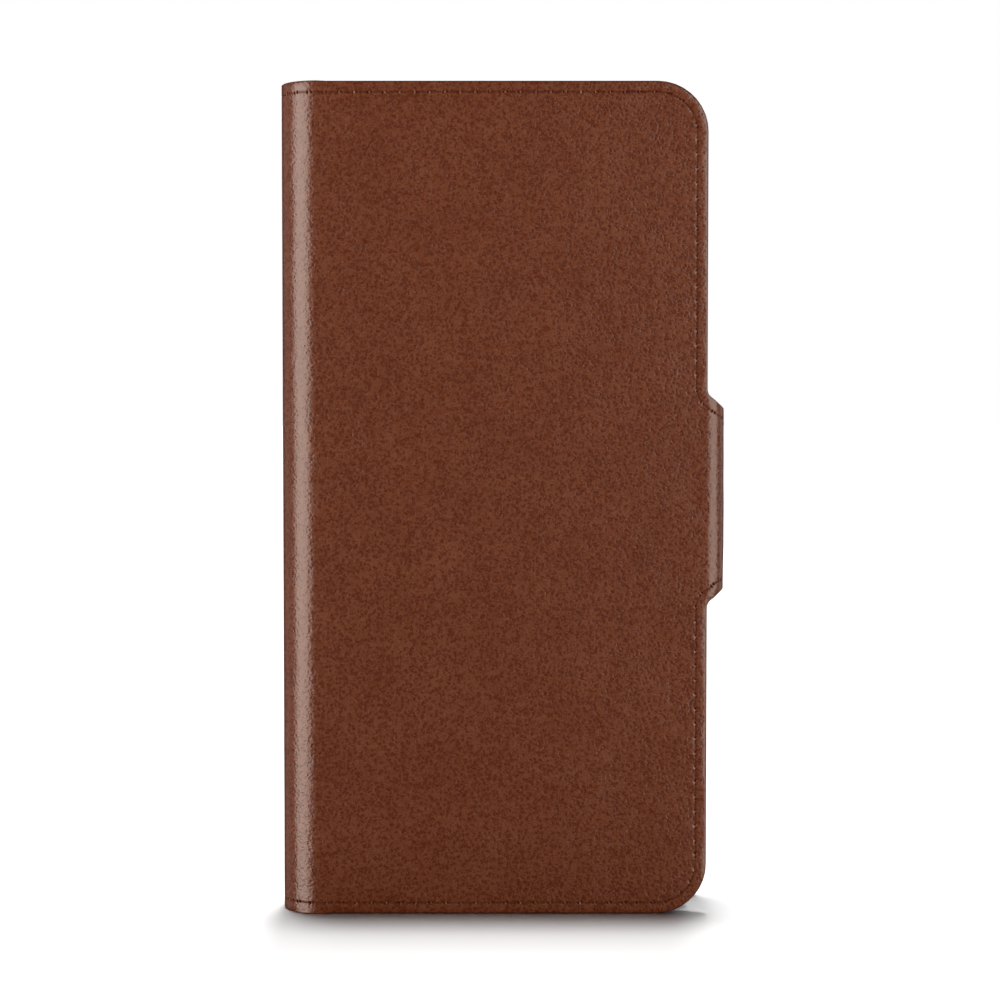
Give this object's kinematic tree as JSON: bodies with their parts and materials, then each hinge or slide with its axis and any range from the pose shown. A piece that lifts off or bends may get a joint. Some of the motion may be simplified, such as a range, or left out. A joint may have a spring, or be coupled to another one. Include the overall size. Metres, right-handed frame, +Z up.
{
  "type": "phone wallet case",
  "caption": "Brown leather booklet case for a phone, with a rounded spine, a stitched edge, card pockets, a moulded phone tray and a wrap-round magnetic closing tab.",
  "frame": {"origin": "centre of the bottom of the bounding box, in the plane the closed case stands on", "axes": "+Z up along the spine, +X from the spine to the closing tab, +Y from the front cover to the back"},
  "size_m": [0.0888, 0.0206, 0.1664],
  "materials": {
    "leather": "embossed pebble grain, satin",
    "pocket_leather": "fine grain, satin",
    "lining": "brushed microfibre, matte",
    "board": "grey bookbinding board, matte",
    "thread": "polyester sewing thread",
    "tray_plastic": "satin flexible moulding",
    "adhesive": "foam bonding pad",
    "steel": "plain steel sheet",
    "magnet": "nickel-plated disc",
    "stiffener": "plain sheet"
  },
  "bodies": {
    "back_cover": {"back_cover_leather": "leather", "back_cover_board": "board", "back_cover_lining": "lining", "back_seam": "thread", "keeper_plate": "steel", "tray_adhesive": "adhesive", "phone_tray": "tray_plastic"},
    "spine": {"spine_leather": "leather", "spine_lining": "lining", "spine_seam_upper": "thread", "spine_seam_lower": "thread"},
    "front_cover": {"front_cover_leather": "leather", "front_cover_board": "board", "front_cover_lining": "lining", "front_seam_upper": "thread", "front_seam_lower": "thread", "note_pocket": "pocket_leather", "card_pocket_rear": "pocket_leather", "card_pocket_middle": "pocket_leather", "card_pocket_front": "pocket_leather", "pocket_seam": "thread"},
    "tab_strap": {"tab_strap_leather": "leather", "tab_strap_lining": "lining", "tab_strap_seam_upper": "thread", "tab_strap_seam_lower": "thread"},
    "tab_tip": {"tab_tip_leather": "leather", "tab_tip_lining": "lining", "tab_tip_plate": "stiffener", "tab_magnet_upper": "magnet", "tab_magnet_lower": "magnet", "tab_tip_seam": "thread"}
  },
  "joints": [
    {"name": "spine_fold", "type": "hinge", "parent": "back_cover", "child": "spine", "pos_m": [-0.04279, 0.00614, 0.0832], "axis": [0, 0, -1], "range_deg": [0, 178]},
    {"name": "cover_fold", "type": "hinge", "parent": "spine", "child": "front_cover", "pos_m": [-0.04279, -0.00864, 0.0832], "axis": [0, 0, -1], "range_deg": [0, 178]},
    {"name": "tab_fold", "type": "hinge", "parent": "front_cover", "child": "tab_strap", "pos_m": [0.04363, -0.00948, 0.0832], "axis": [0, 0, -1], "range_deg": [0, 120]},
    {"name": "tip_fold", "type": "hinge", "parent": "tab_strap", "child": "tab_tip", "pos_m": [0.04376, 0.00961, 0.0832], "axis": [0, 0, -1], "range_deg": [0, 90]}
  ]
}
